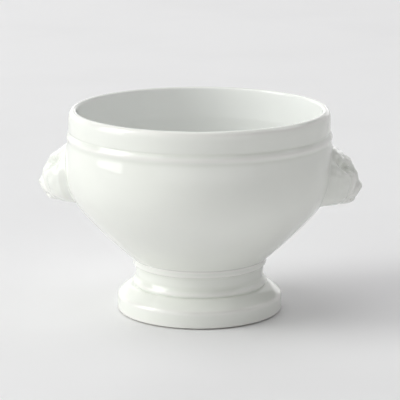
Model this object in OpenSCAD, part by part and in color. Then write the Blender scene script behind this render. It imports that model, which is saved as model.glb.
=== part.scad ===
// Footed soup crock in glazed white porcelain, with a lion's head luted to each side.
// Origin: centre of the foot ring, on the table. +Z is up, the heads lie along +X and -X.

/* [Whole crock] */
// Height from the table to the top of the lip
crock_h = 94.8; // [89:0.1:105]
// Height of the pedestal foot, where the bowl is luted on
foot_h = 25.1; // [23:0.1:28]

/* [Bowl] */
// Outside diameter of the straight band under the lip
band_d = 120.6; // [112:0.1:122]
// Distance that the belly stands out past the band's face
belly_out = 2.1; // [1.2:0.1:6]
// Height of the widest part of the belly above the table
belly_z = 67.1; // [59:0.1:69]
// Wall at the band
band_wall = 3.7; // [3.2:0.1:5]
// Wall under the bead
waist_wall = 4; // [3:0.1:6]
// Wall at the widest part of the belly
belly_wall = 4.1; // [3:0.1:6]
// Thickness of the floor at its centre
floor_t = 5.3; // [4:0.1:8]

/* [Rim mouldings] */
// Height of the rounded lip above the band
lip_h = 5; // [4:0.1:7]
// Distance from the band's face in to the crest of the lip
lip_crest_in = 2.4; // [2:0.1:2.8]
// Height of the straight band
band_h = 4.2; // [3:0.1:6]
// Height of the groove between the band and the bead
groove_h = 1.2; // [0.8:0.1:2.5]
// Depth of that groove behind the band's face
groove_depth = 0.1; // [0.05:0.05:0.9]
// Height of the bead
bead_h = 4; // [3:0.1:5]
// Distance that the bead stands out past the band's face
bead_out = 0.9; // [0.6:0.1:1.6]
// Distance that the valley under the bead lies behind the bead's crest
valley_depth = 0.3; // [0.1:0.05:0.7]

/* [Pedestal foot] */
// Diameter of the plinth
plinth_d = 76.8; // [72:0.1:84]
// Height of the top of the plinth's upright face
plinth_h = 6.4; // [5:0.1:7]
// Radius of the plinth's upper edge
plinth_round = 3; // [1.5:0.1:3.5]
// Radius of the plinth's lower edge
plinth_chamfer = 0.8; // [0.4:0.1:1.4]
// Height of the unglazed ring that the crock stands on, under the plinth's lower edge
ring_h = 0.4; // [0.3:0.1:1]
// Distance that the ring lies in from the plinth's face
ring_in = 2; // [1.4:0.1:3]
// Width of the ring
ring_w = 3.2; // [2.4:0.1:5]
// Diameter of the bead round the stem
stem_bead_d = 62.8; // [62:0.1:66]
// Height of the stem bead's middle
stem_bead_z = 13.6; // [12.8:0.1:14.5]
// Radius of the stem bead's section
stem_bead_r = 1.7; // [1.3:0.05:2]
// Diameter of the narrowest part of the stem
neck_d = 59.6; // [56:0.1:60]
// Diameter of the stem where it meets the bowl
stem_top_d = 63; // [61.5:0.1:66]
// Height of the collar under the bowl
collar_h = 3.3; // [2.4:0.1:4]
// Distance that the collar's lower edge stands out from the neck
collar_out = 0.5; // [0.3:0.1:1]
// Wall of the stem
stem_wall = 4.2; // [3:0.1:6]

/* [Lion heads] */
// Width of a head across its mane, at the wall
head_w = 36.6; // [30:0.1:42]
// Height of a head from the underside of the chin to the top of the mane
head_h = 27.1; // [24:0.1:30]
// Distance from the rim bead's lower edge down to the top of the mane
head_drop = 2.6; // [1:0.1:5]
// Height of the middle of the face above the underside of the chin
face_rise = 11.1; // [9.5:0.1:12.5]
// Distance that the face stands out from the wall, without its features
face_reach = 9.7; // [8:0.1:12]
// Number of locks in each of the mane's two rows
lock_count = 13; // [9:2:17]
// Height of the inner row of locks above the creases beside them
lock_relief = 0.9; // [0.5:0.1:1.8]
// Height of the outer row of locks above the creases beside them
outer_relief = 0.9; // [0.5:0.1:1.8]
// Thickness of the slip that joins a head to the wall
slip_t = 0.03; // [0.02:0.01:0.1]

/* [Hidden] */

porcelain = [0.95, 0.96, 0.94];
round_fn = 128;
curve_steps = 14;
arc_steps = 8;

// Cubic curve from p to s, with q and r as its handles; its first point is left out
function curve_point(p, q, r, s, t) =
    pow(1 - t, 3) * p + 3 * t * pow(1 - t, 2) * q + 3 * t * t * (1 - t) * r + t * t * t * s;
function curve(p, q, r, s, steps = curve_steps) =
    [for (i = [1:steps]) curve_point(p, q, r, s, i / steps)];
// Arc about c, from angle a to angle b
function arc(c, radius, a, b) =
    [for (i = [0:arc_steps]) let (t = a + (b - a) * i / arc_steps) c + radius * [cos(t), sin(t)]];
// Smooth step from 0 at a to 1 at b
function ease(a, b, x) = let (t = min(max((x - a) / (b - a), 0), 1)) t * t * (3 - 2 * t);
// Value between p and q, t of the way along
function blend(p, q, t) = p + (q - p) * t;
function sum(values) = values * [for (v = values) 1];

// Outside of the bowl, from the stem up over the lip
band_r = band_d / 2;
belly_r = band_r + belly_out;
stem_top_r = stem_top_d / 2;
band_top_z = crock_h - lip_h;
band_low_z = band_top_z - band_h;
bead_top_z = band_low_z - groove_h;
bead_low_z = bead_top_z - bead_h;
bead_r = band_r + bead_out;
valley_r = bead_r - valley_depth;
groove_r = band_r - groove_depth;
belly_rise = belly_z - foot_h;
waist_rise = bead_low_z - belly_z;

// How far the handles of each curve reach, as shares of the height that the curve climbs
flare_share = [0.61, 0.55];
belly_share = 0.25;
waist_low_share = 0.55;
waist_top_share = 0.12;
bead_share = 0.42;
groove_share = 0.5;
lip_rise_share = 0.58;
lip_flat_share = 0.7;
lip_inner_share = 0.28;

belly_low = curve([stem_top_r, foot_h], [stem_top_r, foot_h] + belly_rise * flare_share,
    [belly_r, belly_z - belly_rise * belly_share], [belly_r, belly_z], 2 * curve_steps);
belly_top = curve([belly_r, belly_z], [belly_r, belly_z + waist_rise * waist_low_share],
    [valley_r, bead_low_z - waist_rise * waist_top_share], [valley_r, bead_low_z]);
wall_outline = concat([[stem_top_r, foot_h]], belly_low, belly_top);

bead_mid_z = (bead_low_z + bead_top_z) / 2;
groove_mid_z = (bead_top_z + band_low_z) / 2;
bead_reach = (bead_mid_z - bead_low_z) * bead_share;
groove_reach = (band_low_z - groove_mid_z) * groove_share;
bead_outline = concat(
    curve([valley_r, bead_low_z], [valley_r, bead_low_z + bead_reach],
        [bead_r, bead_mid_z - bead_reach], [bead_r, bead_mid_z], arc_steps),
    curve([bead_r, bead_mid_z], [bead_r, bead_mid_z + bead_reach],
        [groove_r, bead_top_z], [groove_r, groove_mid_z], arc_steps),
    curve([groove_r, groove_mid_z], [groove_r, groove_mid_z + groove_reach],
        [band_r, band_low_z - groove_reach], [band_r, band_low_z], arc_steps));

lip_crest = [band_r - lip_crest_in, crock_h];
lip_inner_r = band_r - band_wall;
lip_inner_z = crock_h - lip_h * lip_inner_share;
lip_outline = concat([[band_r, band_top_z]],
    curve([band_r, band_top_z], [band_r, band_top_z + lip_h * lip_rise_share],
        lip_crest + [lip_crest_in * lip_flat_share, 0], lip_crest, arc_steps),
    curve(lip_crest, lip_crest - [(lip_crest[0] - lip_inner_r) * lip_flat_share, 0],
        [lip_inner_r, lip_inner_z + (crock_h - lip_inner_z) * lip_rise_share],
        [lip_inner_r, lip_inner_z], arc_steps));

// Inside of the bowl, from the lip down to the middle of the floor
floor_z = foot_h + floor_t;
waist_inner_r = valley_r - waist_wall;
belly_inner_r = belly_r - belly_wall;
throat_drop = lip_inner_z - bead_low_z;
well_depth = belly_z - floor_z;
throat_share = 0.4;
well_side_share = 0.5;
well_floor_share = 0.56;
well_outline = concat(
    curve([lip_inner_r, lip_inner_z], [lip_inner_r, lip_inner_z - throat_drop * throat_share],
        [waist_inner_r, bead_low_z + throat_drop * throat_share], [waist_inner_r, bead_low_z]),
    curve([waist_inner_r, bead_low_z], [waist_inner_r, bead_low_z - waist_rise * waist_top_share],
        [belly_inner_r, belly_z + waist_rise * waist_low_share], [belly_inner_r, belly_z]),
    curve([belly_inner_r, belly_z], [belly_inner_r, belly_z - well_depth * well_side_share],
        [belly_inner_r * well_floor_share, floor_z], [0, floor_z], 2 * curve_steps));

module bowl() {
    color(porcelain)
        rotate_extrude($fn = round_fn)
            polygon(concat([[0, foot_h]], wall_outline, bead_outline, lip_outline, well_outline));
}

// Outside of the pedestal, from the foot ring up to the bowl
plinth_r = plinth_d / 2;
ring_r = plinth_r - ring_in;
neck_r = neck_d / 2;
collar_r = neck_r + collar_out;
collar_z = foot_h - collar_h;
stem_bead = [stem_bead_d / 2 - stem_bead_r, stem_bead_z];
plinth_edge = [plinth_r - plinth_round, plinth_h];
bead_low_a = -35;
bead_top_a = 35;
shoulder_a = 50;
quirk_low = stem_bead + stem_bead_r * [cos(bead_low_a), sin(bead_low_a)];
quirk_top = stem_bead + stem_bead_r * [cos(bead_top_a), sin(bead_top_a)];
shoulder_low = plinth_edge + plinth_round * [cos(shoulder_a), sin(shoulder_a)];
neck_z_share = 0.42;
neck_z = stem_bead_z + (collar_z - stem_bead_z) * neck_z_share;
neck_low = neck_z - quirk_top[1];
neck_high = collar_z - neck_z;

// How far the handles reach, as shares of the width and height that each curve covers
shoulder_low_share = [0.34, 0.5];
shoulder_top_share = [0.35, 0.14];
neck_flare_share = [0.58, 0.4];
neck_share = 0.4;
collar_share = 0.35;

function along(p, q, shares) = [p[0] + (q[0] - p[0]) * shares[0], p[1] + (q[1] - p[1]) * shares[1]];
stem_outline = concat(
    [[ring_r, 0], [ring_r, ring_h]],
    arc([plinth_r - plinth_chamfer, ring_h + plinth_chamfer], plinth_chamfer, -90, 0),
    arc(plinth_edge, plinth_round, 0, shoulder_a),
    curve(shoulder_low, along(shoulder_low, quirk_low, shoulder_low_share),
        along(quirk_low, shoulder_low, shoulder_top_share), quirk_low, arc_steps),
    arc(stem_bead, stem_bead_r, bead_low_a, bead_top_a),
    curve(quirk_top, along(quirk_top, [neck_r, neck_z], neck_flare_share),
        [neck_r, neck_z - neck_low * neck_share], [neck_r, neck_z], arc_steps),
    curve([neck_r, neck_z], [neck_r, neck_z + neck_high * neck_share],
        [neck_r, collar_z - neck_high * neck_share], [collar_r, collar_z], arc_steps),
    curve([collar_r, collar_z], [stem_top_r, collar_z],
        [stem_top_r - collar_out, foot_h - collar_h * collar_share], [stem_top_r, foot_h], arc_steps));

// Inside of the pedestal, open below
ring_inner_r = ring_r - ring_w;
stem_inner_r = neck_r - stem_wall;
hollow_top_share = 0.5;
hollow_low_share = 0.6;
hollow_outline = concat([[stem_inner_r, foot_h], [stem_inner_r, neck_z]],
    curve([stem_inner_r, neck_z], [stem_inner_r, neck_z * hollow_top_share],
        [ring_inner_r, neck_z * hollow_low_share], [ring_inner_r, 0]));

module pedestal_foot() {
    color(porcelain)
        rotate_extrude($fn = round_fn)
            polygon(concat(stem_outline, hollow_outline));
}

// Where the heads lie on the wall
head_top_z = bead_low_z - head_drop;
chin_z = head_top_z - head_h;
face_z = chin_z + face_rise;
head_half_w = head_w / 2;
ring_count = 34;
sector_count = 64;
back_count = 8;

wall_table = [for (p = wall_outline) [p[1], p[0]]];
function wall_x(y, z) = sqrt(pow(lookup(z, wall_table), 2) - y * y);

// Outline of the mane on the wall: an oval that is squarer under the chin
top_power = 2.3;
chin_power = 3.3;
function mane_r(a) = let (high = sin(a) > 0, n = high ? top_power : chin_power,
        half_h = high ? head_top_z - face_z : face_rise)
    pow(pow(abs(cos(a)) / head_half_w, n) + pow(abs(sin(a)) / half_h, n), -1 / n);

// Dome under the features: low and pointed at the top of the head, fuller at its sides, and
// fullest at the jaw, each as the power and the roundness of its curve. Slip rounds its edge
// into the wall.
top_dome = [1.6, 0.9];
side_dome = [2.4, 0.6];
chin_dome = [3.6, 0.31];
chin_reach_share = 0.47;
slip_share = 0.09;
function dome(s, a) =
    let (side = pow(cos(a), 4), chin = pow(max(-sin(a), 0), 2),
        shape = top_dome + (side_dome - top_dome) * side + (chin_dome - top_dome) * chin)
    face_reach * (1 + chin_reach_share * chin * s) * pow(1 - pow(s, shape[0]), shape[1])
        * ease(0, slip_share, 1 - s);

// Strokes of the modelling tool as shares of the head's width: both ends, across and up from the
// middle of the face, then radius and relief. Each one is on both sides of the face.
stroke_shares = [
    [0, 0.071, 0, -0.022, 0.063, 0.022],        // bridge of the nose
    [0, -0.066, 0.041, -0.049, 0.055, 0.046],   // nose
    [0.038, -0.082, 0.052, -0.074, 0.014, -0.016],  // nostril
    [0.06, -0.128, 0.109, -0.123, 0.063, 0.03], // whisker pad
    [0, -0.107, 0, -0.169, 0.016, -0.016],      // groove under the nose
    [0, -0.183, 0.087, -0.205, 0.019, -0.016],  // mouth
    [0.087, -0.205, 0.169, -0.18, 0.019, -0.015],   // corner of the mouth
    [0, -0.232, 0.066, -0.235, 0.055, 0.033],   // chin
    [0.224, -0.137, 0.175, -0.224, 0.055, 0.012],   // jowl
    [0.134, 0, 0.202, -0.142, 0.025, -0.014],   // crease beside the muzzle
    [0.186, 0.087, 0.219, -0.044, 0.066, 0.016],    // cheek
    [0.096, 0.104, 0.117, -0.005, 0.041, -0.025],   // hollow beside the bridge
    [0, 0.202, 0.06, 0.219, 0.087, 0.011],      // forehead
    [0.096, 0.175, 0.145, 0.205, 0.052, -0.068],   // eye socket
    [0.109, 0.18, 0.137, 0.197, 0.025, 0.03],   // eyeball
    [0.06, 0.252, 0.205, 0.306, 0.038, 0.014],  // brow
    [0.025, 0.257, 0.033, 0.32, 0.014, -0.012], // furrow of the forehead
    [0.306, 0.29, 0.336, 0.306, 0.085, 0.024],  // ear
    [0.243, 0.23, 0.29, 0.279, 0.074, -0.082]   // hollow of the ear
];
stroke_fall = 2.4;
function stroke(k, p) =
    let (from = [k[0], k[1]], reach = [k[2], k[3]] - from,
        t = min(max((p - from) * reach / (reach * reach), 0), 1))
    k[5] * exp(-pow(norm(p - from - reach * t) / k[4], stroke_fall));

// Face: a raised oval that carries the strokes, with a crease round it
face_half_shares = [0.273, 0.317];
face_up_share = 0.011;
face_relief_share = 0.022;
face_fall = 7;
crease_share = 0.055;
crease_at_share = 1.03;
crease_depth = 0.3;
function face_q(p) = norm([p[0] / face_half_shares[0], (p[1] - face_up_share) / face_half_shares[1]]);
function face_relief(p, q) =
    head_w * (sum([for (k = stroke_shares) stroke(k, p)]) + face_relief_share * exp(-pow(q, face_fall)))
        - crease_depth * exp(-pow((q - crease_at_share) / crease_share, 2));

// Mane: two rows of curling locks, the outer one between the inner ones. They are low beside the
// jaw and end at the chin. Angles are counted from the top of the head.
lock_fall = 1.3;
lock_low_share = 0.5;
lock_curl = 24;
row_start_share = [1, 1.16];
row_change_share = [0.76, 0.86];
chin_side_a = [112, 148];
jaw_side_a = [54, 92];
crown_a = [8, 40];
crown_share = 0.2;
inner_jaw_share = 0.3;
outer_jaw_share = 0.25;
mane_step = 0.4;
function lock(a) = pow(abs(cos(a)), lock_fall) - lock_low_share;
function mane(s, a, q) =
    let (from_top = min(abs(a - 90), 450 - a), turn = lock_count / 2 * (from_top + lock_curl * s),
        jaw = ease(jaw_side_a[0], jaw_side_a[1], from_top),
        grown = ease(row_start_share[0], row_start_share[1], q),
        change = ease(row_change_share[0], row_change_share[1], s),
        crown = blend(crown_share, 1, ease(crown_a[0], crown_a[1], from_top)))
    (1 - ease(chin_side_a[0], chin_side_a[1], from_top)) * (
        lock_relief * blend(1, inner_jaw_share, jaw) * lock(turn) * grown * (1 - change)
        + outer_relief * blend(1, outer_jaw_share, jaw) * crown * lock(turn + 90) * change
        + mane_step * grown * (1 - change));

// Point of the head's face, s of the way out from its middle in direction a (90 is up). The
// relief leans outwards on the sides of the head and dies away at its edge.
lean = 60;
edge_power = 8;
function head_point(s, a) =
    let (r = s * mane_r(a), y = r * cos(a), z = face_z + r * sin(a),
        p = [abs(y), z - face_z] / head_w, q = face_q(p), out = lean * s * s,
        relief = (face_relief(p, q) + mane(s, a, q)) * (1 - pow(s, edge_power)))
    [wall_x(y, z) + slip_t + dome(s, a) + relief * cos(out), y + relief * sin(out) * cos(a),
        z + relief * sin(out) * sin(a)];
function back_point(s, a) = let (r = s * mane_r(a), y = r * cos(a), z = face_z + r * sin(a))
    [wall_x(y, z) + slip_t, y, z];

// Rings close up towards the edge, where the side of the mane turns back to the wall
function front_share(i) = sin(90 * i / ring_count);
function sector_a(j) = 90 + 360 * j / sector_count;
head_points = concat([head_point(0, 90)],
    [for (i = [1:ring_count], j = [0:sector_count - 1]) head_point(front_share(i), sector_a(j))],
    [for (i = [back_count - 1:-1:1], j = [0:sector_count - 1]) back_point(i / back_count, sector_a(j))],
    [back_point(0, 90)]);
band_count = ring_count + back_count - 1;
function head_i(i, j) = 1 + (i - 1) * sector_count + j % sector_count;
head_faces = concat(
    [for (j = [0:sector_count - 1]) [0, head_i(1, j + 1), head_i(1, j)]],
    [for (i = [1:band_count - 1], j = [0:sector_count - 1], k = [0, 1])
        k == 0 ? [head_i(i, j), head_i(i, j + 1), head_i(i + 1, j)]
            : [head_i(i, j + 1), head_i(i + 1, j + 1), head_i(i + 1, j)]],
    [for (j = [0:sector_count - 1])
        [head_i(band_count, j), head_i(band_count, j + 1), len(head_points) - 1]]);

module lion_head() {
    color(porcelain)
        polyhedron(head_points, head_faces, convexity = 6);
}

module lion_head_right() {
    lion_head();
}

module lion_head_left() {
    rotate([0, 0, 180])
        lion_head();
}

bowl();
pedestal_foot();
lion_head_left();
lion_head_right();
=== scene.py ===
# %% [markdown]
# A footed soup crock in white porcelain, with a lion's head on each side. On the real crock the
# bowl is thrown or cast, the pedestal is turned, and the two heads are pressed in moulds. They are
# joined with slip while the clay is damp, glazed and fired into one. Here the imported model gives
# every piece its size and place. This script makes each piece again as a finer surface and gives
# it its glaze.

import bpy
import numpy as np
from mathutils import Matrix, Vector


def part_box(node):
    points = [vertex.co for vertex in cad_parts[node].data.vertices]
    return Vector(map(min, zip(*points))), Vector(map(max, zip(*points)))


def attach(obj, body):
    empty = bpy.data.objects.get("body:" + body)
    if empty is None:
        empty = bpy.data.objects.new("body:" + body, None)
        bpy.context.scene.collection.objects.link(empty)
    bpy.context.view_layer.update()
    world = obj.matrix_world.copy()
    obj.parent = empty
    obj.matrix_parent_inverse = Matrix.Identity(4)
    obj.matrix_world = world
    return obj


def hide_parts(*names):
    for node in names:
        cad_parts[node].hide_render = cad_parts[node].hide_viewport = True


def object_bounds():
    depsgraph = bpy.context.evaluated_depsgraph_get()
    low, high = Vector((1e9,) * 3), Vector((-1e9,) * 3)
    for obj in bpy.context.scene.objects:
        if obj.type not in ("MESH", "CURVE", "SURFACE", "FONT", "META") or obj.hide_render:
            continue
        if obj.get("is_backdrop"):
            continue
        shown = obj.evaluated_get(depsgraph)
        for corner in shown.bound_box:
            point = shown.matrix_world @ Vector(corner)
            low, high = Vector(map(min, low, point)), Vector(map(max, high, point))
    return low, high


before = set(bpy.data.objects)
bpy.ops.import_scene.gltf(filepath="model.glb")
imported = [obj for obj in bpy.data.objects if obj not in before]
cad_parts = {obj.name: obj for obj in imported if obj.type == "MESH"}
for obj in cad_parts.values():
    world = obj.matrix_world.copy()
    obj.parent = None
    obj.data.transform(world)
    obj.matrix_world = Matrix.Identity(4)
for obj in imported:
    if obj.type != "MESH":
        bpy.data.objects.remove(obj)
cad_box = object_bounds()
BODY = "root"
MM = 0.001
print("pieces:", ", ".join(sorted(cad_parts)))

# %% [markdown]
# The photograph looks down on the crock by 13 degrees, from about 0.9 m away and 4 degrees to the
# right of its front. A long lens keeps the rim's near and far edges almost alike. A camera can be
# aimed with a Track To constraint or by its angles. Angles are used, because they are what was
# measured, and they stay as they are when the object changes.

# %% Camera
CAMERA_DISTANCE = 0.870
CAMERA_HEIGHT = 0.2519
CAMERA_TURN = np.radians(4)
CAMERA_DROP = np.radians(12.98)
CAMERA_LENS = 173.07
CAMERA_SENSOR = 36
CAMERA_SHIFT = 0.001
CAMERA_NEAR = 0.01

camera_data = bpy.data.cameras.new("camera")
camera_data.lens = CAMERA_LENS
camera_data.sensor_width = CAMERA_SENSOR
camera_data.shift_x = CAMERA_SHIFT
camera_data.clip_start = CAMERA_NEAR
camera = bpy.data.objects.new("camera", camera_data)
camera.location = (
    CAMERA_DISTANCE * np.sin(CAMERA_TURN),
    -CAMERA_DISTANCE * np.cos(CAMERA_TURN),
    CAMERA_HEIGHT,
)
camera.rotation_euler = (np.radians(90) - CAMERA_DROP, 0, CAMERA_TURN)
bpy.context.scene.collection.objects.link(camera)
bpy.context.scene.camera = camera
bpy.context.scene.view_settings.view_transform = "Standard"
print("camera at", tuple(round(v, 3) for v in camera.location))

# %% [markdown]
# Shader maths reads best as an expression. A Wire is one output of a node, and Python's own
# operators on it add Math nodes, so (wave + 1) * 0.5 is written as it is meant. A Graph holds the
# nodes of one material or of the world, and its method add makes every other kind of node.


# %% Nodes written as expressions
class Wire:
    """One output socket. The operators +, - and * on it add a Math node and return its output."""

    def __init__(self, graph, socket):
        self.graph = graph
        self.socket = socket

    def math(self, operation, first, second):
        """Output of a Math node on two wires or numbers."""
        return self.graph.add("ShaderNodeMath", {"operation": operation}, {0: first, 1: second})

    def __add__(self, other):
        return self.math("ADD", self, other)

    def __sub__(self, other):
        return self.math("SUBTRACT", self, other)

    def __mul__(self, other):
        return self.math("MULTIPLY", self, other)

    def __radd__(self, other):
        return self.math("ADD", other, self)

    def __rsub__(self, other):
        return self.math("SUBTRACT", other, self)

    def step(self, low, high):
        """Smooth step from 0 at low to 1 at high."""
        settings = {"interpolation_type": "SMOOTHSTEP"}
        values = {0: self, 1: low, 2: high, 3: 0, 4: 1}
        return self.graph.add("ShaderNodeMapRange", settings, values)


class Graph:
    """The nodes of one material or world."""

    def __init__(self, owner):
        owner.use_nodes = True
        self.tree = owner.node_tree
        self.tree.nodes.clear()

    def add(self, kind, settings=None, inputs=None, output=0):
        """A new node: its settings are set first, then its sockets get values or links."""
        node = self.tree.nodes.new(kind)
        for name, value in (settings or {}).items():
            setattr(node, name, value)
        for name, value in (inputs or {}).items():
            if isinstance(value, Wire):
                self.tree.links.new(value.socket, node.inputs[name])
            else:
                node.inputs[name].default_value = value
        return Wire(self, node.outputs[output]) if len(node.outputs) else node

    def mix(self, factor, first, second):
        """Colour between first and second: inputs 6 and 7 and output 2 are the colour sockets."""
        colours = {0: factor, 6: first, 7: second}
        return self.add("ShaderNodeMix", {"data_type": "RGBA"}, colours, 2)


# %% [markdown]
# The crock stands on a plain pale top. The top is one big sheet, so that the camera sees nothing
# else, and its far side rises into a backdrop for views from lower down. A sheet whose height
# follows a smooth step has no corner. Little light reaches that rise, because the lamps stand
# before it and face the crock. So the camera and the reflections see an even pale tone there in
# place of the lit surface. The tone comes in over several metres, and no line shows behind the
# crock.

# %% Floor and backdrop
FLOOR_HALF = 9.0
FLOOR_STEPS = 60
SWEEP_START = 6.6
SWEEP_HEIGHT = 4.8
FLOOR_COLOUR = (0.866, 0.860, 0.872, 1)
HAZE_COLOUR = (0.850, 0.844, 0.856, 1)
HAZE_SCALE = 6
HAZE_RANGE = (0.4, 0.7)
FLOOR_ROUGHNESS = 0.6
FLOOR_GLOSS = 0.1
BACKDROP_COLOUR = (0.77, 0.77, 0.775, 1)
BACKDROP_START = 2.5


def ease(low, high, value):
    """Smooth step from 0 at low to 1 at high: 3t^2 - 2t^3, with t the share of the way."""
    t = np.clip((value - low) / (high - low), 0, 1)
    return t * t * (3 - 2 * t)


def sheet_mesh(name, points):
    """Mesh of an open grid of points: each four neighbours are one face."""
    rows, columns = points.shape[:2]
    row, column = np.meshgrid(np.arange(rows - 1), np.arange(columns - 1), indexing="ij")
    first = row * columns + column
    faces = np.stack([first, first + columns, first + columns + 1, first + 1], -1)
    mesh = bpy.data.meshes.new(name)
    mesh.from_pydata(points.reshape(-1, 3).tolist(), [], faces.reshape(-1, 4).tolist())
    mesh.shade_smooth()
    piece = bpy.data.objects.new(name, mesh)
    bpy.context.scene.collection.objects.link(piece)
    return piece


sheet_line = np.linspace(-1, 1, FLOOR_STEPS + 1) * FLOOR_HALF
floor_x, floor_y = np.meshgrid(sheet_line, sheet_line, indexing="ij")
floor_z = SWEEP_HEIGHT * ease(SWEEP_START, FLOOR_HALF * np.sqrt(2), np.hypot(floor_x, floor_y))
floor = sheet_mesh("floor", np.stack([floor_x, floor_y, floor_z], -1))

floor_material = bpy.data.materials.new("pale_top")
graph = Graph(floor_material)
place = graph.add("ShaderNodeTexCoord", output="Object")
haze = graph.add("ShaderNodeTexNoise", {}, {"Vector": place, "Scale": HAZE_SCALE, "Detail": 4})
surface = graph.add(
    "ShaderNodeBsdfPrincipled",
    {},
    {
        "Base Color": graph.mix(haze.step(*HAZE_RANGE), FLOOR_COLOUR, HAZE_COLOUR),
        "Roughness": FLOOR_ROUGHNESS,
        "Specular IOR Level": FLOOR_GLOSS,
    },
)
seen = graph.add("ShaderNodeLightPath", output="Is Camera Ray")
seen = seen + graph.add("ShaderNodeLightPath", output="Is Glossy Ray")
reach = graph.add("ShaderNodeVectorMath", {"operation": "LENGTH"}, {0: place}, "Value")
pale = graph.add("ShaderNodeEmission", {}, {"Color": BACKDROP_COLOUR, "Strength": 1.0})
far = reach.step(BACKDROP_START, SWEEP_START) * seen
surface = graph.add("ShaderNodeMixShader", {}, {0: far, 1: surface, 2: pale})
graph.add("ShaderNodeOutputMaterial", {}, {"Surface": surface})
floor.data.materials.append(floor_material)
floor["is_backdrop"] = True
print("floor:", len(floor.data.polygons), "faces")

# %% [markdown]
# Gloss needs something to reflect. A window on the left gives the crock its bright side, its
# shadow and the sharp-edged glint on its belly, and a low strip of the same window reaches under
# the belly to the foot. A weaker window nearer to the camera widens the lit side. A skylight
# lights the rim and the inside of the bowl, and white panels behind, behind on the left, on the
# right and in front fill the shadows. The windows' daylight is a touch green. Point lamps with a
# large radius could do the lighting, but only an area lamp reflects as a window does. Each is
# given as it is seen from the crock, and its glow is the radiance of its face.

# %% Lamps and surroundings
LAMP_DISTANCE = 6.0
LAMP_TARGET_Z = 0.06
DAYLIGHT = (0.98, 1.0, 0.97)
WHITE_LIGHT = (1.0, 1.0, 1.0)

# Name, turn from the front and rise in degrees, half of width and height in degrees, glow, colour.
LAMPS = (
    ("window", -79, 31, 14, 16, 6.0, DAYLIGHT),
    ("window_near", -47, 30, 13, 14, 1.7, DAYLIGHT),
    ("window_low", -78, 7.5, 14, 5.5, 3.1, DAYLIGHT),
    ("skylight", -90, 80, 22, 22, 1.5, WHITE_LIGHT),
    ("panel_back", 180, 26, 24, 26, 0.8, WHITE_LIGHT),
    ("panel_back_left", -140, 25, 18, 22, 0.95, WHITE_LIGHT),
    ("panel_right", 105, 40, 15, 15, 1.45, WHITE_LIGHT),
    ("panel_front", 8, 12, 42, 12, 0.65, WHITE_LIGHT),
)
WORLD_STRENGTH = 0.09


def area_lamp(name, turn, rise, half_width, half_height, glow, colour):
    """Area lamp that faces the crock. Its power is its glow times pi times its area."""
    data = bpy.data.lights.new(name, "AREA")
    data.shape = "RECTANGLE"
    data.size = 2 * LAMP_DISTANCE * np.tan(np.radians(half_width))
    data.size_y = 2 * LAMP_DISTANCE * np.tan(np.radians(half_height))
    data.energy = glow * np.pi * data.size * data.size_y
    data.color = colour
    turn, rise = np.radians((turn, rise))
    lamp = bpy.data.objects.new(name, data)
    lamp.location = (
        LAMP_DISTANCE * np.sin(turn) * np.cos(rise),
        -LAMP_DISTANCE * np.cos(turn) * np.cos(rise),
        LAMP_DISTANCE * np.sin(rise) + LAMP_TARGET_Z,
    )
    lamp.rotation_euler = (np.radians(90) - rise, 0, turn)
    lamp.visible_camera = False
    bpy.context.scene.collection.objects.link(lamp)


for lamp_row in LAMPS:
    area_lamp(*lamp_row)

world = bpy.data.worlds.new("surroundings")
bpy.context.scene.world = world
graph = Graph(world)
dim = {"Color": (1, 1, 1, 1), "Strength": WORLD_STRENGTH}
graph.add("ShaderNodeOutputWorld", {}, {"Surface": graph.add("ShaderNodeBackground", {}, dim)})

# %% [markdown]
# Both the bowl and the foot are turned shapes: one outline, carried round the axis. Blender can
# do that with a Screw modifier. Here the outline's points are multiplied by the cosine and sine of
# each step round, as whole arrays, because the same function can then also measure the outline
# and mark where glaze gathers. Shapes are in millimetres here, and become metres in the mesh.


# %% Pieces of an outline
def curve(p, q, r, s, steps):
    """Cubic curve from p to s, pulled towards q and then r, without p itself.

    With t the share of the way, the four points have the weights (1 - t)^3, 3 t (1 - t)^2,
    3 t^2 (1 - t) and t^3.
    """
    t = np.linspace(0, 1, steps + 1)[1:, None]
    p, q, r, s = (np.array(point, float) for point in (p, q, r, s))
    return (1 - t) ** 3 * p + 3 * t * (1 - t) ** 2 * q + 3 * t * t * (1 - t) * r + t**3 * s


def arc(centre, radius, start_angle, end_angle, steps):
    """Points of a circle about the centre, between two angles in degrees."""
    angle = np.radians(np.linspace(start_angle, end_angle, steps + 1))
    return np.array(centre) + radius * np.stack([np.cos(angle), np.sin(angle)], -1)


def line(start, end, steps):
    """Evenly spaced points on a straight line, without the first."""
    t = np.linspace(0, 1, steps + 1)[1:, None]
    return (1 - t) * np.array(start, float) + t * np.array(end, float)


def shifted(point, out=0, up=0):
    """Point that lies out from another and above it, or in and below where negative."""
    return (point[0] + out, point[1] + up)


def toward(start, end, shares):
    """Point between two others, with its own share of the way across and up."""
    run, rise = end[0] - start[0], end[1] - start[1]
    return (start[0] + run * shares[0], start[1] + rise * shares[1])


# %% [markdown]
# A turned mesh is rings of points, and a head is too, so one function joins rings into faces for
# both. A material can find hollows by the Pointiness of its geometry, but that changes with how
# fine the mesh is. So each mesh stores its hollows as a number on its points, which the glaze
# reads.

# %% Turning
ROUND_STEPS = 288
POOL_REACH = 1.4
TINY = 1e-9


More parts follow.
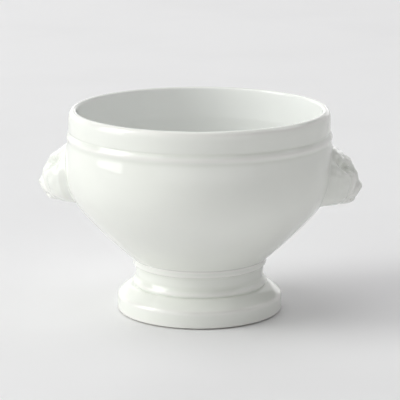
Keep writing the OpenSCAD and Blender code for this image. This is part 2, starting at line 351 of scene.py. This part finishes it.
def skin(name, rings, tips=(None, None), closed=False):
    """Mesh of rings of points. Four neighbours are a face, a tip closes an end, and closed joins
    the last ring to the first."""
    count, around = rings.shape[:2]
    vertices = rings.reshape(-1, 3)
    ring_numbers = np.arange(count if closed else count - 1)
    ring, step = np.meshgrid(ring_numbers, np.arange(around), indexing="ij")
    low = ring * around
    high = (ring + 1) % count * around
    after = (step + 1) % around
    quads = np.stack([low + step, low + after, high + after, high + step], -1)
    faces = quads.reshape(-1, 4).tolist()
    j = np.arange(around)
    for tip, start, turn in ((tips[0], 0, -1), (tips[1], (count - 1) * around, 1)):
        if tip is not None:
            centre = np.full(around, len(vertices))
            fan = np.stack([start + j, start + (j + 1) % around, centre], -1)
            faces += fan[:, ::turn].tolist()
            vertices = np.vstack([vertices, tip])
    mesh = bpy.data.meshes.new(name)
    mesh.from_pydata((vertices * MM).tolist(), [], faces)
    mesh.shade_smooth()
    piece = bpy.data.objects.new(name, mesh)
    bpy.context.scene.collection.objects.link(piece)
    return piece


def mark(piece, name, values):
    """Stores one number for each vertex. On a mesh without the mark, a material reads 0."""
    attribute = piece.data.attributes.new(name, "FLOAT", "POINT")
    attribute.data.foreach_set("value", np.asarray(values, np.float32).ravel())


def mark_rings(piece, name, values, tips=False):
    """Marks a turned piece with one number for each point of its outline."""
    spread = np.repeat(values[1:-1] if tips else values, ROUND_STEPS)
    mark(piece, name, np.append(spread, values[[0, -1]]) if tips else spread)


def hollows(outline, reach, closed):
    """How far an outline bends inwards: the point's distance behind the straight line between the
    outline's points at reach before and after it, measured along the outline."""
    points = np.vstack([outline, outline[:1]]) if closed else outline
    along = np.append(0, np.cumsum(np.hypot(*np.diff(points, axis=0).T)))
    total = along[-1]

    def at(distance):
        distance = distance % total if closed else np.clip(distance, 0, total)
        return np.stack([np.interp(distance, along, points[:, k]) for k in (0, 1)], -1)

    middle = (at(along - reach) + at(along + reach)) / 2
    tangent = at(along + reach) - at(along - reach)
    normal = np.stack([tangent[:, 1], -tangent[:, 0]], -1)
    normal /= np.maximum(np.linalg.norm(normal, axis=1, keepdims=True), TINY)
    depth = np.sum((middle - points) * normal, axis=1)
    return depth[: len(outline)]


def turned(name, outline, tips=False, closed=False):
    """Outline of radius and height, carried round the axis: x = r cos a, y = r sin a, z = z."""
    angle = np.linspace(0, 2 * np.pi, ROUND_STEPS + 1)[:-1]
    body = outline[1:-1] if tips else outline
    radius, height = body[:, :1], body[:, 1:]
    rings = np.stack([radius * np.cos(angle), radius * np.sin(angle), height + 0 * angle], -1)
    ends = ([0, 0, outline[0, 1]], [0, 0, outline[-1, 1]]) if tips else (None, None)
    piece = skin(name, rings, ends, closed)
    mark_rings(piece, "pool", hollows(outline, POOL_REACH, closed), tips)
    return piece


# %% [markdown]
# The bowl's outline starts under its floor, where the foot is joined on, flares to the belly,
# draws in a little at the waist and ends in a bead, a groove, a straight band and a rounded lip.
# Inside it runs down again to a round well. The outline is mostly a chain of cubic curves, because
# a potter's profile has few straight lines and few corners. A share says how far a curve's pull
# reaches, as a part of the height or width that the curve covers.

# %% Sizes of the bowl
low_corner, high_corner = (np.array(corner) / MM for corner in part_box("bowl"))
CROCK_H = high_corner[2]
FOOT_H = low_corner[2]
BELLY_R = high_corner[0]
BELLY_Z = 67.1
BAND_R = 60.3
LIP_H = 5.0
BAND_H = 4.2
GROOVE_H = 1.2
GROOVE_DEPTH = 0.1
BEAD_H = 4.0
BEAD_OUT = 0.9
VALLEY_DEPTH = 0.3
LIP_CREST_IN = 2.4
LIP_INNER_DROP = 1.4
BAND_WALL = 3.7
WAIST_WALL = 4.0
BELLY_WALL = 4.1
FLOOR_T = 5.3
STEM_TOP_R = 31.5

FLARE_SHARE = (0.61, 0.55)
BELLY_SHARE = 0.25
WAIST_LOW_SHARE = 0.55
WAIST_TOP_SHARE = 0.12
BEAD_SHARE = 0.42
GROOVE_SHARE = 0.5
LIP_RISE_SHARE = 0.58
LIP_FLAT_SHARE = 0.7
THROAT_SHARE = 0.4
WELL_SIDE_SHARE = 0.5
WELL_FLOOR_SHARE = 0.56
LIP_STEPS = 16

BAND_LOW_Z = CROCK_H - LIP_H - BAND_H
BEAD_TOP_Z = BAND_LOW_Z - GROOVE_H
BEAD_LOW_Z = BEAD_TOP_Z - BEAD_H
BEAD_R = BAND_R + BEAD_OUT
VALLEY_R = BEAD_R - VALLEY_DEPTH
BELLY_RISE = BELLY_Z - FOOT_H
WAIST_RISE = BEAD_LOW_Z - BELLY_Z
print("bowl:", round(2 * BELLY_R, 1), "mm wide,", round(CROCK_H - FOOT_H, 1), "mm high")


# %% Bowl
def wall_outline():
    """Outside of the bowl, from the foot past the belly to the bead."""
    stem = (STEM_TOP_R, FOOT_H)
    belly = (BELLY_R, BELLY_Z)
    valley = (VALLEY_R, BEAD_LOW_Z)
    flare = shifted(stem, FLARE_SHARE[0] * BELLY_RISE, FLARE_SHARE[1] * BELLY_RISE)
    under_belly = shifted(belly, up=-BELLY_SHARE * BELLY_RISE)
    over_belly = shifted(belly, up=WAIST_LOW_SHARE * WAIST_RISE)
    under_valley = shifted(valley, up=-WAIST_TOP_SHARE * WAIST_RISE)
    below = curve(stem, flare, under_belly, belly, steps=90)
    above = curve(belly, over_belly, under_valley, valley, steps=30)
    return np.vstack([[stem], below, above])


def rim_outline():
    """Bead, groove, band and lip, up to the crest and down to the inside of the band."""
    valley = (VALLEY_R, BEAD_LOW_Z)
    bead = (BEAD_R, (BEAD_LOW_Z + BEAD_TOP_Z) / 2)
    groove = (BAND_R - GROOVE_DEPTH, (BEAD_TOP_Z + BAND_LOW_Z) / 2)
    band_low = (BAND_R, BAND_LOW_Z)
    band_top = (BAND_R, CROCK_H - LIP_H)
    crest = (BAND_R - LIP_CREST_IN, CROCK_H)
    inner = (BAND_R - BAND_WALL, CROCK_H - LIP_INNER_DROP)
    bead_pull = BEAD_SHARE * BEAD_H / 2
    groove_pull = GROOVE_SHARE * GROOVE_H / 2
    over_band = shifted(band_top, up=LIP_RISE_SHARE * LIP_H)
    before_crest = shifted(crest, out=LIP_FLAT_SHARE * LIP_CREST_IN)
    past_crest = shifted(crest, out=-LIP_FLAT_SHARE * (crest[0] - inner[0]))
    over_inner = shifted(inner, up=LIP_RISE_SHARE * (CROCK_H - inner[1]))
    return np.vstack(
        [
            curve(valley, shifted(valley, up=bead_pull), shifted(bead, up=-bead_pull), bead, 14),
            curve(bead, shifted(bead, up=bead_pull), (groove[0], BEAD_TOP_Z), groove, 16),
            curve(
                groove,
                shifted(groove, up=groove_pull),
                shifted(band_low, up=-groove_pull),
                band_low,
                12,
            ),
            line(band_low, band_top, 8),
            curve(band_top, over_band, before_crest, crest, 18),
            curve(crest, past_crest, over_inner, inner, LIP_STEPS),
        ]
    )


def well_outline():
    """Inside of the bowl, from the lip down to the middle of the floor."""
    lip = (BAND_R - BAND_WALL, CROCK_H - LIP_INNER_DROP)
    waist = (VALLEY_R - WAIST_WALL, BEAD_LOW_Z)
    belly = (BELLY_R - BELLY_WALL, BELLY_Z)
    bottom_z = FOOT_H + FLOOR_T
    throat_pull = THROAT_SHARE * (lip[1] - BEAD_LOW_Z)
    under_waist = shifted(waist, up=-WAIST_TOP_SHARE * WAIST_RISE)
    over_belly = shifted(belly, up=WAIST_LOW_SHARE * WAIST_RISE)
    under_belly = shifted(belly, up=-WELL_SIDE_SHARE * (BELLY_Z - bottom_z))
    beside_middle = (WELL_FLOOR_SHARE * belly[0], bottom_z)
    return np.vstack(
        [
            curve(lip, shifted(lip, up=-throat_pull), shifted(waist, up=throat_pull), waist, 16),
            curve(waist, under_waist, over_belly, belly, 16),
            curve(belly, under_belly, beside_middle, (0, bottom_z), 64),
        ]
    )


under_outline = np.vstack([[(0, FOOT_H)], line((0, FOOT_H), (STEM_TOP_R, FOOT_H), 12)[:-1]])
bowl_outline = np.vstack([under_outline, wall_outline(), rim_outline(), well_outline()])
bowl = turned("porcelain_bowl", bowl_outline, tips=True)

# The lining's mark starts at the crest of the lip and is whole at its inner edge. Where the mark
# is, the glaze is painted lighter: painted light on the inside of the bowl.
steps_past_crest = np.arange(len(bowl_outline)) - np.argmax(bowl_outline[:, 1])
mark_rings(bowl, "lining_painted_light", ease(0, LIP_STEPS, steps_past_crest), tips=True)
print("bowl:", len(bowl.data.polygons), "faces")

# %% [markdown]
# The foot is a hollow ring: a plinth with a rounded edge, a shoulder that sweeps up to a small
# bead, a neck, and a collar under the bowl. Its outline closes on itself, so it is turned without
# tips. Only the ring that it stands on is bare of glaze.

# %% Pedestal foot
PLINTH_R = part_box("pedestal_foot")[1].x / MM
PLINTH_H = 6.4
PLINTH_ROUND = 3.0
PLINTH_CHAMFER = 0.8
RING_H = 0.4
RING_IN = 2.0
RING_W = 3.2
RING_EDGE = 0.1
STEM_BEAD = (29.7, 13.6)
STEM_BEAD_R = 1.7
STEM_BEAD_LOW = -35
STEM_BEAD_TOP = 35
SHOULDER_ANGLE = 50
NECK_R = 29.8
COLLAR_H = 3.3
COLLAR_OUT = 0.5
STEM_WALL = 4.2

SHOULDER_LOW_SHARE = (0.34, 0.5)
SHOULDER_TOP_SHARE = (0.35, 0.14)
NECK_Z_SHARE = 0.42
NECK_FLARE_SHARE = (0.58, 0.4)
NECK_SHARE = 0.4
COLLAR_SHARE = 0.35
HOLLOW_TOP_SHARE = 0.5
HOLLOW_LOW_SHARE = 0.6


def plinth_outline(ring_r):
    """Edge of the foot ring and the plinth up to where its shoulder starts."""
    chamfer_centre = (PLINTH_R - PLINTH_CHAMFER, RING_H + PLINTH_CHAMFER)
    round_centre = (PLINTH_R - PLINTH_ROUND, PLINTH_H)
    ring = np.vstack(
        [
            line((ring_r - RING_EDGE, 0), (ring_r, RING_EDGE), 1),
            line((ring_r, RING_EDGE), (ring_r, RING_H), 2),
            line((ring_r, RING_H), (PLINTH_R - PLINTH_CHAMFER, RING_H), 4)[:-1],
            arc(chamfer_centre, PLINTH_CHAMFER, -90, 0, 10),
        ]
    )
    edge = arc(round_centre, PLINTH_ROUND, 0, SHOULDER_ANGLE, 10)
    return np.vstack([ring, line(ring[-1], edge[0], 8)[:-1], edge])


def foot_outline():
    """Outside from the foot ring up to the bowl, then down the hollow inside."""
    ring_r = PLINTH_R - RING_IN
    ring_inner_r = ring_r - RING_W
    plinth = plinth_outline(ring_r)
    edge = plinth[-1]
    bead = arc(STEM_BEAD, STEM_BEAD_R, STEM_BEAD_LOW, STEM_BEAD_TOP, 20)
    collar_z = FOOT_H - COLLAR_H
    neck_z = STEM_BEAD[1] + NECK_Z_SHARE * (collar_z - STEM_BEAD[1])
    neck = (NECK_R, neck_z)
    collar = (NECK_R + COLLAR_OUT, collar_z)
    stem_top = (STEM_TOP_R, FOOT_H)
    low_pull = NECK_SHARE * (neck_z - bead[-1, 1])
    high_pull = NECK_SHARE * (collar_z - neck_z)
    shoulder_low = toward(edge, bead[0], SHOULDER_LOW_SHARE)
    shoulder_top = toward(bead[0], edge, SHOULDER_TOP_SHARE)
    neck_flare = toward(bead[-1], neck, NECK_FLARE_SHARE)
    under_collar = (NECK_R, collar_z - high_pull)
    under_bowl = shifted(stem_top, -COLLAR_OUT, -COLLAR_SHARE * COLLAR_H)
    hollow_top = (NECK_R - STEM_WALL, FOOT_H)
    hollow_neck = (NECK_R - STEM_WALL, neck_z)
    hollow_low = (ring_inner_r, RING_EDGE)
    hollow_pull = (NECK_R - STEM_WALL, HOLLOW_TOP_SHARE * neck_z)
    ring_pull = (ring_inner_r, HOLLOW_LOW_SHARE * neck_z)
    ring_inside = (ring_inner_r + RING_EDGE, 0)
    return np.vstack(
        [
            plinth,
            curve(edge, shoulder_low, shoulder_top, bead[0], 26)[:-1],
            bead,
            curve(bead[-1], neck_flare, shifted(neck, up=-low_pull), neck, 12),
            curve(neck, shifted(neck, up=high_pull), under_collar, collar, 14),
            curve(collar, (STEM_TOP_R, collar_z), under_bowl, stem_top, 12),
            line(stem_top, hollow_top, 4),
            line(hollow_top, hollow_neck, 8),
            curve(hollow_neck, hollow_pull, ring_pull, hollow_low, 30),
            line(hollow_low, ring_inside, 1),
            line(ring_inside, (ring_r - RING_EDGE, 0), 6),
        ]
    )


pedestal = turned("porcelain_foot", foot_outline(), closed=True)
print("foot:", len(pedestal.data.polygons), "faces, widest radius", round(PLINTH_R, 2), "mm")

# %% [markdown]
# A lion's head is pressed clay: a dome that lies on the curved wall, and on it the marks of a
# modelling tool. Each feature, such as the nose or a brow, is a stroke: the distance from a point
# to a short line, turned into a soft bump. A sculpted mesh could do this too, but a formula puts
# the same face on both sides and can be made as fine as the glaze needs.

# %% Lion's face
# Both ends of each stroke, across and up from the middle of the face, then radius and relief.
STROKES = (
    (0, 2.6, 0, -0.8, 2.3, 0.8),  # bridge of the nose
    (0, -2.4, 1.5, -1.8, 2.0, 1.7),  # nose
    (1.4, -3.0, 1.9, -2.7, 0.5, -0.6),  # nostril
    (2.2, -4.7, 4.0, -4.5, 2.3, 1.1),  # whisker pad
    (0, -3.9, 0, -6.2, 0.6, -0.6),  # groove under the nose
    (0, -6.7, 3.2, -7.5, 0.7, -0.6),  # mouth
    (3.2, -7.5, 6.2, -6.6, 0.7, -0.55),  # corner of the mouth
    (0, -8.5, 2.4, -8.6, 2.0, 1.2),  # chin
    (8.2, -5.0, 6.4, -8.2, 2.0, 0.44),  # jowl
    (4.9, 0, 7.4, -5.2, 0.9, -0.5),  # crease beside the muzzle
    (6.8, 3.2, 8.0, -1.6, 2.4, 0.6),  # cheek
    (3.5, 3.8, 4.3, -0.2, 1.5, -0.9),  # hollow beside the bridge
    (0, 7.4, 2.2, 8.0, 3.2, 0.4),  # forehead
    (3.5, 6.4, 5.3, 7.5, 1.9, -2.5),  # eye socket
    (4.0, 6.6, 5.0, 7.2, 0.9, 1.1),  # eyeball
    (2.2, 9.2, 7.5, 11.2, 1.4, 0.5),  # brow
    (0.9, 9.4, 1.2, 11.7, 0.5, -0.44),  # furrow of the forehead
    (11.2, 10.6, 12.3, 11.2, 3.1, 0.88),  # ear
    (8.9, 8.4, 10.6, 10.2, 2.7, -3.0),  # hollow of the ear
)
STROKE_FALL = 2.4
FACE_HALF_W = 10.0
FACE_HALF_H = 11.6
FACE_UP = 0.4
FACE_RELIEF = 0.8
FACE_FALL = 7
CREASE_AT = 1.03
CREASE_WIDTH = 0.055
CREASE_DEPTH = 0.3


def stroke_relief(across, up, strokes):
    """Sum of all strokes: relief times exp(-(distance / radius) ^ fall), alike on both sides."""
    relief = np.zeros_like(across)
    side = np.abs(across)
    for x0, y0, x1, y1, radius, height in strokes:
        run_x, run_y = x1 - x0, y1 - y0
        share = ((side - x0) * run_x + (up - y0) * run_y) / (run_x**2 + run_y**2)
        share = np.clip(share, 0, 1)
        distance = np.hypot(side - x0 - share * run_x, up - y0 - share * run_y)
        relief += height * np.exp(-((distance / radius) ** STROKE_FALL))
    return relief


def face_share(across, up):
    """How far out a point lies, 1 being the edge of the raised oval that carries the face."""
    return np.hypot(across / FACE_HALF_W, (up - FACE_UP) / FACE_HALF_H)


def face_plate(q):
    """Height of the raised oval: level well inside q = 1, gone outside."""
    return FACE_RELIEF * np.exp(-(q**FACE_FALL))


def face_crease(q):
    """Depth of the crease round the oval."""
    return CREASE_DEPTH * np.exp(-(((q - CREASE_AT) / CREASE_WIDTH) ** 2))


print("face:", len(STROKES), "strokes, doubled on the other side")

# %% [markdown]
# Under the face is the plain dome, whose height depends on how far out a point lies and in which
# direction: it is low and pointed at the top of the head and fullest at the jaw. Round the face
# grows the mane, two rows of curling locks, the outer row set between the locks of the inner one.
# The locks are a cosine of the direction, so their number is one value.

# %% Dome and mane
HEAD_W = 36.6
HEAD_H = 27.1
HEAD_DROP = 2.6
FACE_RISE = 11.1
FACE_REACH = 9.7
TOP_POWER = 2.3
CHIN_POWER = 3.3

# Three values each: at the top of the head, then what the sides and the chin add.
DOME_POWER = (1.6, 0.8, 2.0)
DOME_ROUNDNESS = (0.9, -0.3, -0.59)
SIDE_FALL = 4
CHIN_FALL = 2
CHIN_REACH_SHARE = 0.47
SLIP_SHARE = 0.09

# The sides are in degrees from the top of the head. The rows start where the face's oval ends, at
# 1, and change at a share of the way out.
LOCK_COUNT = 13
LOCK_FALL = 1.3
LOCK_LOW_SHARE = 0.5
LOCK_CURL = 24
LOCK_RELIEF = 0.9
ROW_START = (1, 1.16)
ROW_CHANGE = (0.76, 0.86)
CROWN_SIDE = (8, 40)
JAW_SIDE = (54, 92)
CHIN_SIDE = (112, 148)
CROWN_SHARE = 0.2
INNER_JAW_CUT = 0.7
OUTER_JAW_CUT = 0.75
MANE_STEP = 0.4


def mane_radius(angle):
    """Outline of the mane, an oval that is squarer under the chin: the distance at which
    (across / half width)^power + (up / half height)^power is 1."""
    high_side = np.sin(angle) > 0
    power = np.where(high_side, TOP_POWER, CHIN_POWER)
    half_h = np.where(high_side, HEAD_H - FACE_RISE, FACE_RISE)
    across = np.abs(np.cos(angle)) * 2 / HEAD_W
    up = np.abs(np.sin(angle)) / half_h
    return (across**power + up**power) ** (-1 / power)


def dome(s, angle):
    """Height of the plain dome: reach times (1 - s^power)^roundness, with a soft edge."""
    side = np.cos(angle) ** SIDE_FALL
    chin = np.maximum(-np.sin(angle), 0) ** CHIN_FALL
    power = DOME_POWER[0] + DOME_POWER[1] * side + DOME_POWER[2] * chin
    roundness = DOME_ROUNDNESS[0] + DOME_ROUNDNESS[1] * side + DOME_ROUNDNESS[2] * chin
    reach = FACE_REACH * (1 + CHIN_REACH_SHARE * chin * s)
    return reach * (1 - s**power) ** roundness * ease(0, SLIP_SHARE, 1 - s)


def lock(angle):
    """One lock in a row: a rounded ridge with a narrow crease on each side."""
    return np.abs(np.cos(np.radians(angle))) ** LOCK_FALL - LOCK_LOW_SHARE


def mane(s, from_top, q):
    """Two rows of curling locks, low beside the jaw, gone at the chin."""
    turn = LOCK_COUNT / 2 * (from_top + LOCK_CURL * s)
    jaw = ease(*JAW_SIDE, from_top)
    grown = ease(*ROW_START, q)
    change = ease(*ROW_CHANGE, s)
    crown = CROWN_SHARE + (1 - CROWN_SHARE) * ease(*CROWN_SIDE, from_top)
    inner = LOCK_RELIEF * (1 - INNER_JAW_CUT * jaw) * lock(turn) * grown * (1 - change)
    outer = LOCK_RELIEF * (1 - OUTER_JAW_CUT * jaw) * crown * lock(turn + 90) * change
    rise = MANE_STEP * grown * (1 - change)
    return (1 - ease(*CHIN_SIDE, from_top)) * (inner + outer + rise)


print("mane:", LOCK_COUNT, "locks in a row,", HEAD_W, "mm wide")

# %% [markdown]
# The head is a grid in polar form: rings from the middle of the face to its edge, closer together
# towards the edge, where the side of the mane turns back to the wall. Relief that stood straight
# out would be drawn out thin there, so it leans outwards more and more. The back of the head is
# the wall's own curve, a slip joint away from it.

# %% Lion's heads
SLIP_T = 0.03
HEAD_RINGS = 150
HEAD_SECTORS = 360
BACK_RINGS = 10
EDGE_POWER = 8
LEAN = np.radians(60)
FACE_Z = BEAD_LOW_Z - HEAD_DROP - HEAD_H + FACE_RISE
WALL = wall_outline()


def wall_x(across, z):
    """Distance from the axis plane to the wall: the root of radius squared less across squared."""
    return np.sqrt(np.interp(z, WALL[:, 1], WALL[:, 0]) ** 2 - across**2)


def head_grid(s, angle):
    """Points of the face and the relief there, for shares out s and directions angle."""
    radius = s * mane_radius(angle)
    across = radius * np.cos(angle)
    up = radius * np.sin(angle)
    q = face_share(across, up)
    from_top = np.abs(np.degrees(angle) - 90)
    from_top = np.minimum(from_top, 360 - from_top) + 0 * s
    relief = stroke_relief(across, up, STROKES) + face_plate(q)
    relief += mane(s, from_top, q) - face_crease(q)
    relief *= 1 - s**EDGE_POWER
    lean = LEAN * s * s
    z = FACE_Z + up
    points = np.stack(
        [
            wall_x(across, z) + SLIP_T + dome(s, angle) + relief * np.cos(lean),
            across + relief * np.sin(lean) * np.cos(angle),
            z + relief * np.sin(lean) * np.sin(angle),
        ],
        -1,
    )
    return points, relief


def lion_head(name, turn):
    """Closed head: rings on the wall from the middle out, then the face from its edge in. Its turn
    is 1 on the right, and -1 on the left, where it stands turned half round."""
    angle = np.radians(90) + np.linspace(0, 2 * np.pi, HEAD_SECTORS + 1)[None, :-1]
    out = np.sin(np.pi / 2 * np.linspace(1, 0, HEAD_RINGS + 1))[:-1, None]
    face, relief = head_grid(out, angle)
    back_out = (np.arange(1, BACK_RINGS) / BACK_RINGS)[:, None]
    radius = back_out * mane_radius(angle)
    across = radius * np.cos(angle)
    z = FACE_Z + radius * np.sin(angle)
    back = np.stack([wall_x(across, z) + SLIP_T, across, z], -1)
    nose, nose_relief = head_grid(np.zeros((1, 1)), np.radians([[90.0]]))
    tips = np.array([[wall_x(0, FACE_Z) + SLIP_T, 0, FACE_Z], nose[0, 0]])
    half_turn = np.array([turn, turn, 1])
    piece = skin(name, np.vstack([back, face]) * half_turn, tips * half_turn)
    pooled = np.append(np.vstack([0 * back[..., 0], -relief]), [0, -nose_relief[0, 0]])
    mark(piece, "pool", pooled)
    return piece


head_right = lion_head("porcelain_lion_right", 1)
head_left = lion_head("porcelain_lion_left", -1)
print("heads:", len(head_right.data.polygons), "faces each")

# %% [markdown]
# Porcelain is a white body under a clear glaze. The body's colour shows through, a touch green
# where the glaze has pooled in a hollow, and lighter and warmer where it has drawn off an edge.
# The lining inside the bowl is painted whiter and more neutral than the outside. This is painted
# light, which brightens the inside of the bowl as more light would. The gloss comes from a smooth
# surface with a slow waviness, which is what breaks up its reflections. The colour follows the
# number that each mesh stores for its hollows, so the glaze gathers where the shape says. Only the
# foot ring is left bare, up to a line that wanders a little.

# %% Glaze
PORCELAIN = (0.838, 0.85, 0.806, 1)
CLOUDED = (0.823, 0.835, 0.794, 1)
# Painted light: the lining's colour is whiter than the outside glaze, to brighten the inside of
# the bowl.
LINING_PAINTED_LIGHT = (0.88, 0.89, 0.873, 1)
POOLED = (0.80, 0.817, 0.765, 1)
THIN = (0.853, 0.853, 0.818, 1)
BARE = (0.62, 0.58, 0.50, 1)
GLAZE_IOR = 1.5

# Scales of the noises in waves per metre, then what they do to colour, roughness and height.
CLOUD_SCALE = 38
WAVE_SCALE = 70
GRAIN_SCALE = 900
CLOUD_RANGE = (0.35, 0.75)
SMOOTHEST = 0.03
CLOUD_ROUGHNESS = 0.05
WAVE_SHARE = 0.8
GRAIN_SHARE = 0.04
WAVE_HEIGHT = 0.00006
WAVE_STRENGTH = 0.5
THIN_START = 0.3

# The glaze line in metres above the table, how far it wanders, and the bare clay's roughness.
GLAZE_LINE = (0.0003, 0.0006)
LINE_WANDER = 0.0003
BARE_ROUGHNESS = 0.55

# Depth in millimetres at which a hollow has the whole tint of pooled glaze.
TURNED_POOL = 0.25
HEAD_POOL = 1.0


def glaze(name, pool_depth, bare_ring=False):
    """Glossy glaze over white clay, tinted where the mesh's pool number nears pool_depth, and
    painted lighter on the bowl's lining as painted light.
    """
    material = bpy.data.materials.new(name)
    graph = Graph(material)
    place = graph.add("ShaderNodeTexCoord", output="Object")

    def noise(scale, detail):
        values = {"Vector": place, "Scale": scale, "Detail": detail}
        return graph.add("ShaderNodeTexNoise", {}, values)

    def stored(mark_name):
        return graph.add("ShaderNodeAttribute", {"attribute_name": mark_name}, output="Fac")

    pool = stored("pool")
    cloud = noise(CLOUD_SCALE, 3)
    wave = noise(WAVE_SCALE, 2)
    grain = noise(GRAIN_SCALE, 2)
    body = graph.mix(cloud.step(*CLOUD_RANGE), PORCELAIN, CLOUDED)
    body = graph.mix(pool.step(0, pool_depth), body, POOLED)
    colour = graph.mix((0 - pool).step(pool_depth * THIN_START, pool_depth), body, THIN)
    # Painted light: the lining's whiter colour lifts the inside of the bowl as more light would.
    colour = graph.mix(stored("lining_painted_light"), colour, LINING_PAINTED_LIGHT)
    roughness = SMOOTHEST + cloud * CLOUD_ROUGHNESS
    height = wave * WAVE_SHARE + grain * GRAIN_SHARE
    bump = {"Height": height, "Strength": WAVE_STRENGTH, "Distance": WAVE_HEIGHT}
    if bare_ring:
        z = graph.add("ShaderNodeSeparateXYZ", {}, {"Vector": place}, "Z")
        bare = 1 - (z + (grain - 0.5) * LINE_WANDER).step(*GLAZE_LINE)
        colour = graph.mix(bare, colour, BARE)
        roughness = roughness + bare * BARE_ROUGHNESS
    surface = graph.add(
        "ShaderNodeBsdfPrincipled",
        {},
        {
            "Base Color": colour,
            "Roughness": roughness,
            "IOR": GLAZE_IOR,
            "Normal": graph.add("ShaderNodeBump", {}, bump),
        },
    )
    graph.add("ShaderNodeOutputMaterial", {}, {"Surface": surface})
    return material


body_glaze = glaze("bowl_glaze", TURNED_POOL)
foot_glaze = glaze("foot_glaze", TURNED_POOL, bare_ring=True)
head_glaze = glaze("head_glaze", HEAD_POOL)
print("glazes:", ", ".join(m.name for m in (body_glaze, foot_glaze, head_glaze)))

# %% [markdown]
# Last, each finer piece takes the place of the imported piece that it stands for, rides on the
# imported body and takes its glaze.

# %% Joining the pieces to the imported model
for piece, node, material, slot in (
    (bowl, "bowl", body_glaze, "bowl_glaze"),
    (pedestal, "pedestal_foot", foot_glaze, "foot_glaze"),
    (head_right, "lion_head_right", head_glaze, "head_glaze"),
    (head_left, "lion_head_left", head_glaze, "head_glaze"),
):
    piece.data.materials.append(material)
    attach(piece, BODY)
    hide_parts(node)
    print(piece.name, "stands for", node)

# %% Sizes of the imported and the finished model
finished_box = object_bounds()
sizes = {
    "cad": [list(map(float, corner)) for corner in cad_box],
    "visual": [list(map(float, corner)) for corner in finished_box],
}
print("visual size in mm:", [round((b - a) / MM, 2) for a, b in zip(*sizes["visual"])])
